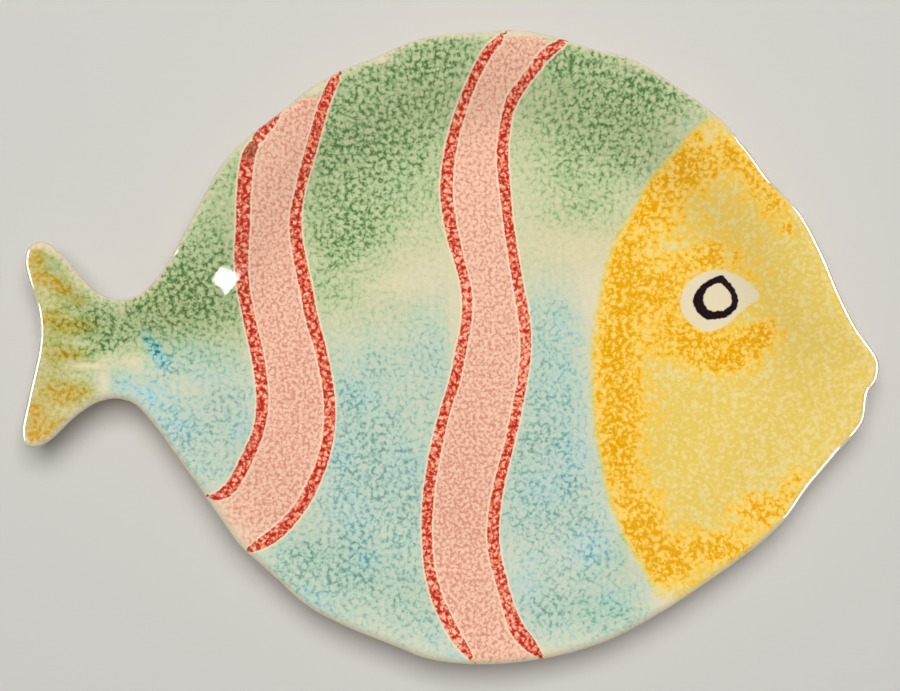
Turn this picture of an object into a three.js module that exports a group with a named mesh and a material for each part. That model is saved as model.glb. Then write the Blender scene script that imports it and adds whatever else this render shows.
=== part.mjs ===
// Fish-shaped salad plate of glazed earthenware: a shallow dish whose outline is a whole fish, with mouth,
// back, belly and forked tail, standing on a low oval foot of bare fired clay.
// Millimetres, +Z up. The head points along +X and the back along +Y. The origin lies on the table, under
// the middle of the outline's box.

import * as THREE from 'three';

// The whole plate
const plate_length = 250;
const plate_width = 185;
const plate_height = 23;

// The dish: one wall of even thickness that slopes down from the rim over wall_run to a flat floor
const wall_thickness = 4.5;
const wall_run = 30;
const rim_wave = 1;
const rim_wave_count = 7;
const rim_flare_share = 0.3;

// The foot: a rolled coil, luted to the underside of the floor and trimmed flat below
const foot_height = 4;
const foot_setback = 2;
const foot_root_width = 7;
const foot_face_width = 3.6;
const foot_edge = 0.6;

// The outline, hand-cut with soft scallops, as shares of plate_length and plate_width from its middle.
// The back runs from the corner of the mouth over the upper lip to the middle of the tail's edge.
const back_shares = [
  [0.488, -0.07], [0.496, -0.056], [0.5, -0.037], [0.499, -0.019], [0.49, 0.001], [0.474, 0.031],
  [0.456, 0.079], [0.432, 0.156], [0.408, 0.214], [0.373, 0.264], [0.344, 0.316], [0.315, 0.36],
  [0.272, 0.404], [0.236, 0.437], [0.208, 0.457], [0.166, 0.471], [0.124, 0.489], [0.084, 0.5],
  [0.04, 0.497], [-0.012, 0.492], [-0.047, 0.481], [-0.087, 0.457], [-0.131, 0.434], [-0.166, 0.406],
  [-0.2, 0.369], [-0.236, 0.331], [-0.264, 0.292], [-0.288, 0.236], [-0.313, 0.172], [-0.336, 0.12],
  [-0.359, 0.087], [-0.384, 0.075], [-0.409, 0.084], [-0.432, 0.113], [-0.453, 0.147], [-0.474, 0.166],
  [-0.49, 0.16], [-0.496, 0.138], [-0.49, 0.098], [-0.481, 0.059], [-0.479, 0.012],
];
// The belly runs from below the corner of the mouth to above the tail's lower tip.
const belly_shares = [
  [0.486, -0.083], [0.485, -0.099], [0.482, -0.117], [0.474, -0.134], [0.455, -0.162], [0.435, -0.194],
  [0.415, -0.227], [0.394, -0.268], [0.366, -0.305], [0.334, -0.338], [0.299, -0.371], [0.264, -0.403],
  [0.222, -0.437], [0.18, -0.465], [0.135, -0.484], [0.091, -0.495], [0.044, -0.5], [0, -0.497],
  [-0.033, -0.488], [-0.066, -0.47], [-0.103, -0.451], [-0.14, -0.429], [-0.171, -0.404], [-0.196, -0.374],
  [-0.22, -0.344], [-0.245, -0.313], [-0.271, -0.264], [-0.297, -0.212], [-0.325, -0.16], [-0.35, -0.115],
  [-0.369, -0.089], [-0.39, -0.081], [-0.412, -0.087], [-0.438, -0.11], [-0.465, -0.145], [-0.481, -0.157],
  [-0.495, -0.155], [-0.5, -0.135], [-0.493, -0.082],
];
// The dish is laid out on ribs that run from a spine to the outline, between these two ends of the spine.
const tail_end_shares = [-0.426, -0.004];
const head_end_shares = [0.397, -0.02];
// Middle of the foot
const foot_middle_shares = [0.047, -0.003];

// How finely the surfaces are divided
const steps_per_point = 2;
const fine_steps_per_point = 8;
const top_rings = 10;
const lip_steps = 3;
const under_rings = 7;
const ring_crowding_power = 1.5;
const foot_steps = 72;
const foot_flare_steps = 3;

const half_wall = wall_thickness / 2;
const hair = wall_thickness / 1000;
const floor_middle_z = foot_height + half_wall;
const rim_middle_z = plate_height - half_wall;

function on_plate([length_share, width_share]) {
  return new THREE.Vector3(length_share * plate_length, width_share * plate_width, 0);
}

const outline_points = [...back_shares, ...belly_shares.toReversed()].map(on_plate);
const outline = new THREE.CatmullRomCurve3(outline_points, true, 'centripetal');
const foot_middle = on_plate(foot_middle_shares);

// The outline cut into short straight pieces, each as its middle and its length
function outline_pieces() {
  const count = outline_points.length * fine_steps_per_point;
  const pieces = [];
  for (let step = 0; step < count; step += 1) {
    const start = outline.getPoint(step / count);
    const end = outline.getPoint((step + 1) / count);
    pieces.push({ middle: start.clone().lerp(end, 0.5), length: start.distanceTo(end) });
  }
  return pieces;
}

const rim_pieces = outline_pieces();

// Soft distance in from the outline: every piece of the outline adds its length over the cube of its reach,
// and a straight edge at a distance d adds up to 2 / d^2. Near the rim this is the plain distance, and
// further in it rounds off, so the dish has no crease along the middle of its body or its tail.
function distance_in(x, y) {
  let sum = 0;
  for (const { middle, length } of rim_pieces) {
    sum += length / Math.hypot(x - middle.x, y - middle.y) ** 3;
  }
  return Math.sqrt(2 / sum);
}

// How far the dish has sunk from the rim, 0, to the floor, 1. A flared part leaves the rim at a slope, and an
// S-shaped part carries the rest.
function sunk_share(distance) {
  const run = Math.min((distance - half_wall) / wall_run, 1);
  const flared = 1 - (1 - run) ** 3;
  const curved = run ** 3 * (run * (6 * run - 15) + 10);
  return rim_flare_share * flared + (1 - rim_flare_share) * curved;
}

// Height of the middle of the wall. The rim rises and falls a little round the plate.
function middle_height(x, y) {
  const around = Math.atan2(y - foot_middle.y, x - foot_middle.x);
  const dip = rim_wave * (1 - Math.cos(rim_wave_count * around)) / 2;
  const rise = rim_middle_z - dip - floor_middle_z;
  return floor_middle_z + rise * (1 - sunk_share(distance_in(x, y)));
}

// Upward normal of the middle of the wall, from the heights a hair to each side
function wall_normal(x, y) {
  const slope_x = (middle_height(x + hair, y) - middle_height(x - hair, y)) / (2 * hair);
  const slope_y = (middle_height(x, y + hair) - middle_height(x, y - hair)) / (2 * hair);
  return new THREE.Vector3(-slope_x, -slope_y, 1).normalize();
}

// A closed body from rows of points: each row is a ring, and rows follow each other from the inside of one
// face, over the edge, to the inside of the other. Points that meet become one corner, and the triangles
// that this flattens are left out.
function closed_body(rows, rows_wrap) {
  const corners = new Map();
  const positions = [];
  const faces = [];
  const corner = (point) => {
    const key = point.toArray().map((value) => value.toFixed(4)).join();
    if (!corners.has(key)) {
      corners.set(key, corners.size);
      positions.push(...point.toArray());
    }
    return corners.get(key);
  };
  const add_face = (a, b, c) => {
    if (a !== b && b !== c && c !== a) faces.push(a, b, c);
  };
  const bands = rows_wrap ? rows.length : rows.length - 1;
  for (let band = 0; band < bands; band += 1) {
    const inner = rows[band].map(corner);
    const outer = rows[(band + 1) % rows.length].map(corner);
    for (let step = 0; step < inner.length; step += 1) {
      const next = (step + 1) % inner.length;
      add_face(inner[step], outer[step], outer[next]);
      add_face(inner[step], outer[next], inner[next]);
    }
  }
  const geometry = new THREE.BufferGeometry();
  geometry.setAttribute('position', new THREE.Float32BufferAttribute(positions, 3));
  geometry.setIndex(faces);
  geometry.computeVertexNormals();
  return geometry;
}

// Where a rib starts on the spine: under the mean of its own end and that of the rib across the spine
function spine_point(end, end_across) {
  const tail_end = on_plate(tail_end_shares);
  const head_end = on_plate(head_end_shares);
  const along = ((end.x + end_across.x) / 2 - tail_end.x) / (head_end.x - tail_end.x);
  return tail_end.lerp(head_end, THREE.MathUtils.clamp(along, 0, 1));
}

// The ribs: each runs from the spine to half a wall inside the outline, and looks outward there.
function dish_ribs() {
  const count = outline_points.length * steps_per_point;
  const ends = [];
  for (let step = 0; step < count; step += 1) {
    const tangent = outline.getTangent(step / count);
    const outward = new THREE.Vector3(tangent.y, -tangent.x, 0);
    ends.push({ outward, end: outline.getPoint(step / count).addScaledVector(outward, -half_wall) });
  }
  return ends.map(({ outward, end }, step) => {
    const across = ends[(count - step) % count].end;
    return { outward, end, start: spine_point(end, across) };
  });
}

// One ring of the dish's top, side +1, or underside, side -1, at a share of the way from spine to rim
function face_ring(ribs, rib_share, side) {
  return ribs.map(({ start, end }) => {
    const place = start.clone().lerp(end, rib_share);
    const normal = wall_normal(place.x, place.y);
    place.z = middle_height(place.x, place.y);
    return place.addScaledVector(normal, side * half_wall);
  });
}

// One ring of the rounded lip: turn goes from 0 at the top, through 1 at its outermost, to 2 underneath.
function lip_ring(ribs, turn) {
  return ribs.map(({ end, outward }) => {
    const normal = wall_normal(end.x, end.y);
    const from = turn < 1 ? normal : outward;
    const to = turn < 1 ? outward : normal.clone().negate();
    const direction = from.clone().lerp(to, turn < 1 ? turn : turn - 1).normalize();
    const place = end.clone().setZ(middle_height(end.x, end.y));
    return place.addScaledVector(direction, half_wall);
  });
}

function dish_geometry() {
  const ribs = dish_ribs();
  const rows = [];
  for (let ring = 0; ring <= top_rings; ring += 1) {
    rows.push(face_ring(ribs, 1 - (1 - ring / top_rings) ** ring_crowding_power, 1));
  }
  for (let step = 1; step < 2 * lip_steps; step += 1) {
    rows.push(lip_ring(ribs, step / lip_steps));
  }
  for (let ring = under_rings; ring >= 0; ring -= 1) {
    rows.push(face_ring(ribs, 1 - (1 - ring / under_rings) ** ring_crowding_power, -1));
  }
  return closed_body(rows, false);
}

// The foot follows the edge of the flat floor, foot_setback inside it. In each direction from its middle a
// point steps outward by the soft distance that it has to spare, until none is left.
function foot_line() {
  const foot_distance = half_wall + wall_run + foot_setback + foot_root_width / 2;
  return Array.from({ length: foot_steps }, (_, step) => {
    const around = (step / foot_steps) * 2 * Math.PI;
    const direction = new THREE.Vector3(Math.cos(around), Math.sin(around), 0);
    const place = foot_middle.clone();
    let spare = distance_in(place.x, place.y) - foot_distance;
    while (spare > hair) {
      place.addScaledVector(direction, spare);
      spare = distance_in(place.x, place.y) - foot_distance;
    }
    return place;
  });
}

// Section of the foot as [offset out from its line, height]: a flat face below, small rounded edges, and
// sides that flare to the root where the coil was smoothed into the floor.
function foot_section() {
  const outer_side = [[foot_face_width / 2, 0]];
  const neck = foot_face_width / 2 + foot_edge;
  for (let step = 0; step <= foot_flare_steps; step += 1) {
    const height_share = step / foot_flare_steps;
    const flare = (foot_root_width / 2 - neck) * height_share ** 3;
    outer_side.push([neck + flare, foot_edge + (foot_height - foot_edge) * height_share]);
  }
  const inner_side = outer_side.map(([offset, height]) => [-offset, height]).toReversed();
  return [...outer_side, ...inner_side];
}

function foot_geometry() {
  const line = foot_line();
  const outwards = line.map((_, step) => {
    const before = line.at(step - 1);
    const after = line[(step + 1) % line.length];
    return new THREE.Vector3(after.y - before.y, before.x - after.x, 0).normalize();
  });
  const rows = foot_section().map(([offset, height]) => line.map((place, step) => (
    place.clone().addScaledVector(outwards[step], offset).setZ(height)
  )));
  return closed_body(rows.toReversed(), true);
}

function piece(name, geometry, color, roughness) {
  const material = new THREE.MeshStandardMaterial({ color, roughness, metalness: 0 });
  const mesh = new THREE.Mesh(geometry, material);
  mesh.name = name;
  return mesh;
}

const group = new THREE.Group();
group.add(piece('plate_body', dish_geometry(), '#b4be92', 0.15));
group.add(piece('foot_ring', foot_geometry(), '#d8bd97', 0.9));

export default group;
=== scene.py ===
"""Looks of a fish-shaped salad plate: cream earthenware with a sponged and brushed decoration under a clear
gloss glaze, on a trimmed foot of bare clay. Shapes are worked out in millimetres and put into the meshes in
metres. The fish looks along +X with its back along +Y, as in the frame."""

import bpy
import numpy as np
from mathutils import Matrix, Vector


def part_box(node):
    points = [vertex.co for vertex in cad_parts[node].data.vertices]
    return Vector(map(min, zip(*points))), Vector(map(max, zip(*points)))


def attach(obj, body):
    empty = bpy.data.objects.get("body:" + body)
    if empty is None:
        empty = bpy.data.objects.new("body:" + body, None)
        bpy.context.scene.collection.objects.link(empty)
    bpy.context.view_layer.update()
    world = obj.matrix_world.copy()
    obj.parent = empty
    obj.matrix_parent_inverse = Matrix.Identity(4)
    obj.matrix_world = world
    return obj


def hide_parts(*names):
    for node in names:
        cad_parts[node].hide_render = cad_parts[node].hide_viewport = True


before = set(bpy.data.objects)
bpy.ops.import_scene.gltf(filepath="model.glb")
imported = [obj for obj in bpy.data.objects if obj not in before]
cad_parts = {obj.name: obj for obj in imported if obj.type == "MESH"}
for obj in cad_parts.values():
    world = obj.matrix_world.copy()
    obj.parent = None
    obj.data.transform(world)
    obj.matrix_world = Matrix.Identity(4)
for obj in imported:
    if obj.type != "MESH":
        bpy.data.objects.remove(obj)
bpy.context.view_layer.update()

bl_info = {
    "name": "Fish-shaped salad plate",
    "version": (1, 0, 0),
    "blender": (4, 5, 0),
    "location": "3D View > Sidebar > Plate",
    "description": "Builds a sponge-decorated earthenware plate around its frame, and a plain stage for it",
    "category": "Add Mesh",
}

MM = 0.001

DISH_LOW, DISH_HIGH = (np.array(corner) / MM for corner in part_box("plate_body"))
FOOT_HIGH = np.array(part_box("foot_ring")[1]) / MM
PLATE_SIZE = DISH_HIGH - DISH_LOW
PLATE_MIDDLE = (DISH_HIGH + DISH_LOW) / 2

# The outline in thousandths of the plate's length and width: the back from the corner of the mouth to the
# middle of the tail's edge, and the belly from below the corner of the mouth to above the tail's lower tip
BACK = [
    (488, -70), (496, -56), (500, -37), (499, -19), (490, 1), (474, 31), (456, 79), (432, 156), (408, 214),
    (373, 264), (344, 316), (315, 360), (272, 404), (236, 437), (208, 457), (166, 471), (124, 489),
    (84, 500), (40, 497), (-12, 492), (-47, 481), (-87, 457), (-131, 434), (-166, 406), (-200, 369),
    (-236, 331), (-264, 292), (-288, 236), (-313, 172), (-336, 120), (-359, 87), (-384, 75), (-409, 84),
    (-432, 113), (-453, 147), (-474, 166), (-490, 160), (-496, 138), (-490, 98), (-481, 59), (-479, 12),
]
BELLY = [
    (486, -83), (485, -99), (482, -117), (474, -134), (455, -162), (435, -194), (415, -227), (394, -268),
    (366, -305), (334, -338), (299, -371), (264, -403), (222, -437), (180, -465), (135, -484), (91, -495),
    (44, -500), (0, -497), (-33, -488), (-66, -470), (-103, -451), (-140, -429), (-171, -404), (-196, -374),
    (-220, -344), (-245, -313), (-271, -264), (-297, -212), (-325, -160), (-350, -115), (-369, -89),
    (-390, -81), (-412, -87), (-438, -110), (-465, -145), (-481, -157), (-495, -155), (-500, -135),
    (-493, -82),
]
# The ends of the spine that the ribs start from, and the middle of the foot
TAIL_END = (-426, -4)
HEAD_END = (397, -20)
FOOT_MIDDLE = (47, -3)

# The photograph's frame, the outline's box in it, and the heights of the eye over the rim and of the rim
PHOTO_SIZE_PX = (900, 691)
OUTLINE_LOW_PX = np.array([21.8, 664.2])
OUTLINE_HIGH_PX = np.array([878.5, 30.5])
MM_PER_PX = PLATE_SIZE[0] / (OUTLINE_HIGH_PX[0] - OUTLINE_LOW_PX[0])
EYE_HEIGHT_MM = 620.1
RIM_LEVEL_MM = 20.3

# Brush strokes as (x, y, width) along their centre lines, top to bottom, in the photograph's pixels. Each
# pair encloses one pink band.
FIRST_DAB_PX = [(276, 117, 8), (271, 122.5, 10), (264, 130, 11), (258, 138.5, 11)]
FIRST_LEFT_STROKE_PX = [
    (252.5, 147, 11), (248.5, 156, 13), (245.5, 175, 14), (243.5, 200, 14), (243, 225, 14), (241.5, 250, 14),
    (242.5, 280, 13), (249, 318, 12), (256, 348, 12.5), (261, 380, 12), (262.5, 405, 12), (258, 432, 11),
    (248, 456, 12), (238, 476.5, 12), (227.5, 490.5, 12), (216, 496.5, 8), (211, 496.5, 4),
]
FIRST_RIGHT_STROKE_PX = [
    (335.5, 79, 9), (330, 89.5, 10), (323, 107.5, 11), (314, 139.5, 11), (306.5, 165, 11), (299.5, 193, 10),
    (295.5, 218, 12), (296.5, 240, 12), (300.5, 262, 12.5), (306.5, 290.5, 12.5), (311.7, 318.5, 12.5),
    (320, 347, 11.5), (326, 375, 11), (329.5, 402, 11), (329, 430, 11), (323, 459.5, 11), (311.7, 486.8, 12),
    (296, 513, 12), (276, 533.5, 13), (261, 543.5, 11), (250, 549.5, 6),
]
SECOND_LEFT_STROKE_PX = [
    (499, 40, 8), (488.5, 51, 10), (478, 69.5, 10), (468, 91.5, 10), (458, 120, 11), (450.5, 150, 11.5),
    (446.5, 185, 12.5), (448.5, 213, 12.5), (455, 245, 11.5), (462, 270, 9.5), (467, 295, 10.5),
    (466.3, 322, 10), (461, 350, 10.5), (454.3, 382, 10.5), (445.3, 410, 10), (438.2, 438.5, 11),
    (432, 470, 11), (427.7, 505, 11), (427, 540, 10), (430.3, 572, 10.5), (438, 600, 11.5), (448.3, 622, 12),
    (459, 641, 11), (470, 656, 6),
]
SECOND_RIGHT_STROKE_PX = [
    (562, 43, 8), (549, 51.5, 11), (535, 67.5, 11), (521.3, 86, 10.5), (512.3, 99.5, 12), (508.2, 112, 10.5),
    (504.5, 130, 11), (502.4, 155, 11.5), (504.8, 188, 11), (507.7, 218, 10), (513.2, 255, 10),
    (519, 290, 10.5), (524, 318, 11.5), (525.7, 348, 10.5), (523, 376, 10), (516.6, 410.3, 10),
    (509, 445.4, 9.5), (500, 480, 10.5), (494, 515, 11.5), (494, 550, 12), (501.7, 582, 11.5),
    (508.3, 606, 12), (517.7, 630, 15), (529.5, 644.5, 13.5), (540.5, 656, 5),
]
# Where one stroke was laid over the end of another, as a soft patch like those below
CROSSED_STROKES_PX = [(251, 150, 8, 11, 80)]
# How the pink stops at a band's two ends, from its left stroke to its right one at the top, and back below
FIRST_PINK_TOP_PX = [(272, 128), (282, 112), (300, 98), (320, 96)]
FIRST_PINK_END_PX = [(258, 552), (240, 540), (222, 514), (212, 499)]
SECOND_PINK_TOP_PX = [(502, 38), (520, 36), (545, 38)]
SECOND_PINK_END_PX = [(530, 668), (500, 672), (474, 668)]

# The yellow face from its top corner down its edge, then round outside the plate
HEAD_PX = [
    (716, 119), (702, 126), (690, 137), (678, 151), (664, 167), (652, 181), (641, 201), (629, 222),
    (617, 241), (608, 268), (602, 298), (597, 326), (594, 352), (594, 380), (595, 405), (598, 435),
    (603, 462), (608, 488), (616, 512), (627, 538), (641, 561), (652, 580), (660, 594), (700, 596),
    (760, 566), (930, 420), (930, 240), (780, 100),
]
EYE_WHITE_PX = [
    (680, 304), (686, 285), (700, 274), (715, 270), (729, 272), (742, 278), (753, 287), (760, 297),
    (746, 307), (732, 320), (719, 329), (707, 332), (694, 326), (684, 316),
]
RING_OUTSIDE_PX = [
    (722, 275), (713, 278), (704, 283), (697, 290), (693, 299), (694, 307), (700, 315), (708, 320),
    (717, 319), (724, 318), (732, 313), (738, 305), (738, 297), (733, 287), (727, 280),
]
RING_INSIDE_PX = [
    (720, 283), (711, 286), (705, 292), (703, 299), (705, 306), (710, 311), (718, 311), (725, 310),
    (730, 305), (732, 299), (729, 292), (725, 287),
]

# Where each colour was sponged on, as soft patches (x, y, reach in x, reach in y, strength) in the
# photograph's pixels and percent: broad thin ones first, then the places that were pressed again
GREEN_PATCHES_PX = [
    (430, 300, 450, 330, 16), (213, 205, 40, 60, 36), (175, 285, 75, 52, 68), (220, 305, 35, 45, 40),
    (130, 325, 50, 28, 50), (350, 140, 70, 62, 62), (425, 80, 60, 50, 52), (345, 225, 52, 50, 60),
    (412, 160, 48, 52, 45), (328, 292, 26, 28, 30), (600, 95, 105, 60, 52), (592, 165, 72, 55, 45),
    (72, 335, 40, 60, 30), (345, 148, 28, 28, 50), (358, 225, 26, 24, 50), (420, 60, 24, 18, 50),
    (398, 132, 24, 24, 20), (455, 55, 18, 18, 20), (338, 245, 18, 18, 40), (640, 93, 40, 22, 65),
    (600, 122, 28, 18, 20), (560, 70, 24, 18, 40), (645, 142, 26, 22, 30), (580, 212, 32, 16, 25),
    (185, 262, 22, 22, 40), (212, 290, 18, 26, 30), (165, 300, 24, 18, 30), (100, 345, 15, 12, 60),
    (95, 316, 22, 9, 30), (55, 262, 16, 12, 35), (400, 600, 90, 30, 12), (600, 610, 50, 20, 25),
    (345, 98, 36, 22, 40), (400, 66, 46, 16, 45), (455, 48, 32, 14, 45), (600, 58, 66, 18, 40),
    (675, 100, 34, 18, 35), (560, 50, 24, 14, 30), (225, 165, 20, 30, 30), (372, 305, 50, 26, 15),
    (425, 235, 26, 24, 12), (330, 560, 60, 30, 15), (625, 560, 30, 30, 15),
]
AQUA_PATCHES_PX = [
    (185, 425, 62, 52, 58), (212, 472, 42, 28, 35), (236, 400, 26, 40, 35), (120, 381, 26, 13, 45),
    (165, 368, 18, 12, 35), (370, 430, 84, 90, 52), (350, 490, 44, 60, 30), (400, 530, 70, 70, 38),
    (330, 580, 90, 55, 50), (430, 625, 60, 40, 42), (388, 358, 46, 30, 20), (430, 310, 26, 30, 18),
    (555, 400, 68, 105, 50), (548, 322, 34, 36, 32), (552, 525, 80, 80, 42), (602, 562, 40, 40, 35),
    (600, 622, 100, 34, 42), (540, 605, 36, 42, 28), (295, 562, 34, 26, 35), (415, 500, 20, 44, 25),
    (585, 490, 24, 40, 20), (430, 345, 20, 24, 20), (202, 358, 34, 18, 35), (185, 350, 20, 14, 20),
    (345, 400, 26, 40, 20), (147, 337, 6, 8, 50), (155, 350, 7, 9, 80), (166, 364, 8, 8, 50),
    (540, 440, 24, 40, 20), (437, 375, 18, 44, 25), (522, 500, 20, 44, 25), (646, 592, 16, 18, 30),
]
BLUE_PATCHES_PX = [
    (148, 340, 5, 7, 50), (155, 350, 6, 8, 60), (163, 361, 6, 7, 50), (152, 396, 17, 12, 40),
    (122, 388, 14, 8, 30), (178, 425, 22, 16, 20), (240, 430, 12, 16, 20), (205, 380, 16, 8, 20),
    (360, 395, 20, 18, 15), (342, 455, 18, 30, 14), (352, 515, 24, 26, 12), (405, 465, 22, 26, 10),
    (575, 455, 22, 30, 18), (545, 490, 24, 22, 18), (592, 548, 22, 20, 25), (690, 124, 9, 6, 25),
    (395, 180, 14, 12, 10), (560, 325, 16, 14, 12), (525, 585, 14, 22, 20), (455, 655, 14, 6, 30),
    (310, 600, 20, 12, 20), (365, 560, 20, 16, 20), (610, 600, 20, 14, 20), (560, 380, 30, 40, 12),
]
OCHRE_PATCHES_PX = [
    (50, 340, 42, 110, 28), (44, 278, 9, 5, 90), (55, 284, 9, 5, 100), (66, 291, 8, 5, 80),
    (80, 301, 7, 4, 70), (36, 262, 10, 15, 60), (38, 422, 12, 14, 50), (52, 318, 14, 7, 55),
    (74, 326, 20, 8, 65), (66, 354, 18, 6, 70), (70, 390, 26, 8, 55), (62, 402, 20, 6, 45),
    (36, 409, 8, 5, 90), (38, 436, 14, 6, 95), (55, 424, 16, 8, 50), (160, 300, 50, 30, 12),
    (585, 245, 60, 30, 10),
]
YELLOW_PATCHES_PX = [
    (740, 340, 330, 400, 55), (640, 320, 60, 240, 70), (690, 440, 70, 90, 45), (700, 560, 80, 40, 50),
    (735, 340, 60, 40, 40), (745, 200, 60, 70, 60), (820, 370, 60, 90, 40), (760, 280, 50, 50, 50),
]
ORANGE_PATCHES_PX = [
    (628, 280, 30, 52, 75), (616, 360, 26, 60, 75), (618, 445, 27, 60, 78), (642, 525, 28, 40, 80),
    (668, 570, 26, 20, 85), (715, 548, 50, 19, 80), (765, 510, 38, 18, 75), (796, 480, 20, 14, 50),
    (690, 340, 40, 24, 75), (668, 292, 28, 26, 65), (762, 335, 22, 16, 75), (722, 362, 32, 14, 75),
    (705, 258, 32, 15, 70), (690, 165, 34, 26, 80), (738, 152, 24, 18, 65), (758, 178, 22, 22, 55),
    (774, 203, 16, 22, 55), (788, 228, 6, 8, 100), (648, 208, 28, 32, 70), (664, 188, 20, 20, 40),
    (704, 136, 18, 12, 50), (630, 260, 12, 20, 40), (640, 545, 12, 16, 40), (614, 345, 10, 20, 30),
    (710, 220, 60, 40, 22), (700, 300, 60, 50, 20), (610, 300, 8, 20, 30), (742, 350, 20, 14, 55),
    (655, 400, 30, 30, 20), (745, 400, 40, 40, 6), (750, 270, 20, 20, 20),
]
ROSE_PATCHES_PX = [
    (380, 350, 600, 600, 65), (290, 420, 40, 120, 20), (462, 530, 40, 110, 40), (250, 520, 30, 20, 10),
    (515, 50, 40, 30, 30), (300, 115, 30, 20, 30), (475, 640, 40, 30, 30),
]
# Where the body was left bare between the sponged colours, in the face, and in the wider places of the rim
BARE_PATCHES_PX = [
    (88, 366, 20, 3, 85), (104, 383, 6, 14, 90), (428, 262, 42, 24, 30), (400, 287, 46, 14, 40),
    (574, 246, 44, 20, 40), (585, 285, 16, 26, 50), (595, 320, 13, 50, 60), (453, 315, 6, 38, 50),
    (594, 410, 11, 60, 45), (614, 500, 8, 40, 40), (634, 558, 9, 20, 50), (655, 596, 12, 12, 60),
    (192, 386, 18, 7, 25), (70, 316, 12, 5, 40), (76, 342, 16, 5, 30), (345, 320, 20, 14, 20),
    (108, 358, 10, 6, 50), (120, 312, 5, 5, 60), (134, 362, 14, 6, 50),
]
BARE_FACE_PATCHES_PX = [
    (713, 137, 12, 8, 50), (728, 190, 10, 16, 35), (668, 250, 24, 8, 40), (640, 330, 6, 20, 20),
    (672, 375, 26, 14, 35), (660, 590, 14, 6, 60),
]
BARE_RIM_PATCHES_PX = [
    (312, 87, 14, 8, 100), (380, 59, 14, 5, 90), (524, 31, 26, 5, 100), (668, 604, 12, 8, 100),
    (558, 656, 20, 6, 90), (232, 532, 20, 10, 70), (218, 510, 10, 10, 70), (640, 66, 20, 4, 40),
]
# Where a brush stroke runs thin
THIN_STROKE_PATCHES_PX = [
    (523, 335, 12, 60, 80), (518, 385, 12, 36, 50), (452, 634, 16, 22, 90), (509, 608, 14, 26, 60),
    (331, 425, 12, 22, 50), (466, 290, 12, 24, 50), (534, 67, 12, 16, 60), (446, 190, 12, 26, 40),
    (431, 585, 12, 24, 40), (458, 120, 10, 16, 40), (460, 340, 12, 40, 40), (438, 440, 12, 50, 35),
    (494, 530, 12, 50, 30),
]
# How strongly these colours were laid on, over all their patches
GREEN_STRENGTH = 0.84
AQUA_STRENGTH = 0.85
YELLOW_STRENGTH = 1.45
ORANGE_STRENGTH = 1.15
# Short steps between two points of a stroke or an outline of the decoration
STROKE_STEPS = 4

# Detail and roughness of noise: what bends the sponge's holes, their grain, slow waves, and the clay's grit
BEND_NOISE, GRAIN_NOISE, SLOW_NOISE, GRIT_NOISE = (1.0, 0.5), (3.0, 0.68), (2.0, 0.5), (3.0, 0.7)
# Breadth of the sponge's holes in mm, on the body and the face and in the bands and the brush strokes
BODY_HOLE, FACE_HOLE, BAND_HOLE, STROKE_HOLE = 2.1, 2.0, 1.5, 1.8
# The size and reach of what bends the holes, and the size of the grain, in shares of a hole's breadth
BEND_SIZE, BEND_REACH, GRAIN_SIZE = 1.4, 0.8, 0.75
# Distances from a hole's edge that are web and hole, the grain's range, and its share in the print
HOLE_RANGE, GRAIN_RANGE, GRAIN_SHARE = (0.02, 0.34), (0.36, 0.64), 0.65
# Each pigment: the share of it that is printed as flecks, what its wash lacks in the sponge's holes, and its
# pale and deep colour
PIGMENTS = {
    "green": (0.5, 0.5, "#B4C894", "#58804A"),
    "aqua": (0.5, 0.45, "#C6D9CC", "#86A8A2"),
    "blue": (0.6, 0.6, "#BCD8D4", "#70A0B4"),
    "ochre": (0.3, 0.45, "#D6C47C", "#DC9E1E"),
    "yellow": (0.35, 0.35, "#F1DA90", "#ECCC60"),
    "orange": (0.55, 0.4, "#FDC944", "#ECA804"),
    "pink": (0.5, 0.35, "#FBCBAE", "#DE9682"),
    "red": (0.6, 0.65, "#FF9878", "#B8281A"),
}
# The density at which a wash is whole, the web's range that lifts it and the printed share's part in that,
# the range of web and density in which flecks come, and how full a coat is where it has its pale colour
WASH_WHOLE, LIFT_RANGE, LIFT_GAIN, FLECK_RANGE, PALE_FULLNESS = 0.5, (0.15, 0.85), 0.4, (1.0, 1.6), 0.4
# Slow patterns: size in mm, detail and roughness, and the range of them that is spread over another range
RAGGED = (1.2, (2.0, 0.6), (0.3, 0.7, -0.5, 0.5))
DABS = (8, (1.0, 0.5), (0.35, 0.65, 0.9, 1.1))
MOTTLE = (3.2, (2.0, 0.6), (0.32, 0.68, 0.45, 1.3))
# Edges of the decoration, in mm: how far the ragged pattern moves each, and between which distances it turns
EDGES = {
    "body colours": (1.1, -1.5, 0.3), "yellow": (1.1, -1.8, 0.2), "orange": (1.1, -0.3, 0.3),
    "pink": (0, -0.3, 0.3), "rim": (0.6, 0.7, 1.4), "stroke": (0.25, -0.12, 0.12),
    "beside stroke": (0.25, 0.25, 0.7), "stroke at rim": (0, 0.1, 0.4), "eye": (0, -0.2, 0.2),
    "ring": (0.35, -0.1, 0.15),
}
# The mottle's part in the orange, and the range in which the orange comes
ORANGE_MOTTLE, ORANGE_RANGE = 0.45, (0.6, 1.35)
# How clear the line beside a stroke is, the share of the colours below that a stroke lets through, and how
# loaded the brush was where it ran full and thin
BESIDE_SHARE, THROUGH_STROKE, BRUSH_LOAD = 0.8, 0.3, (0.9, 0.62)

# The glaze, with its ripple as size and depth in mm and strength
GLAZE_ROUGHNESS, GLAZE_IOR = 0.05, 1.5
RIPPLE_SIZE, RIPPLE_DEPTH, RIPPLE_STRENGTH = 7, 0.3, 0.04
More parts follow.
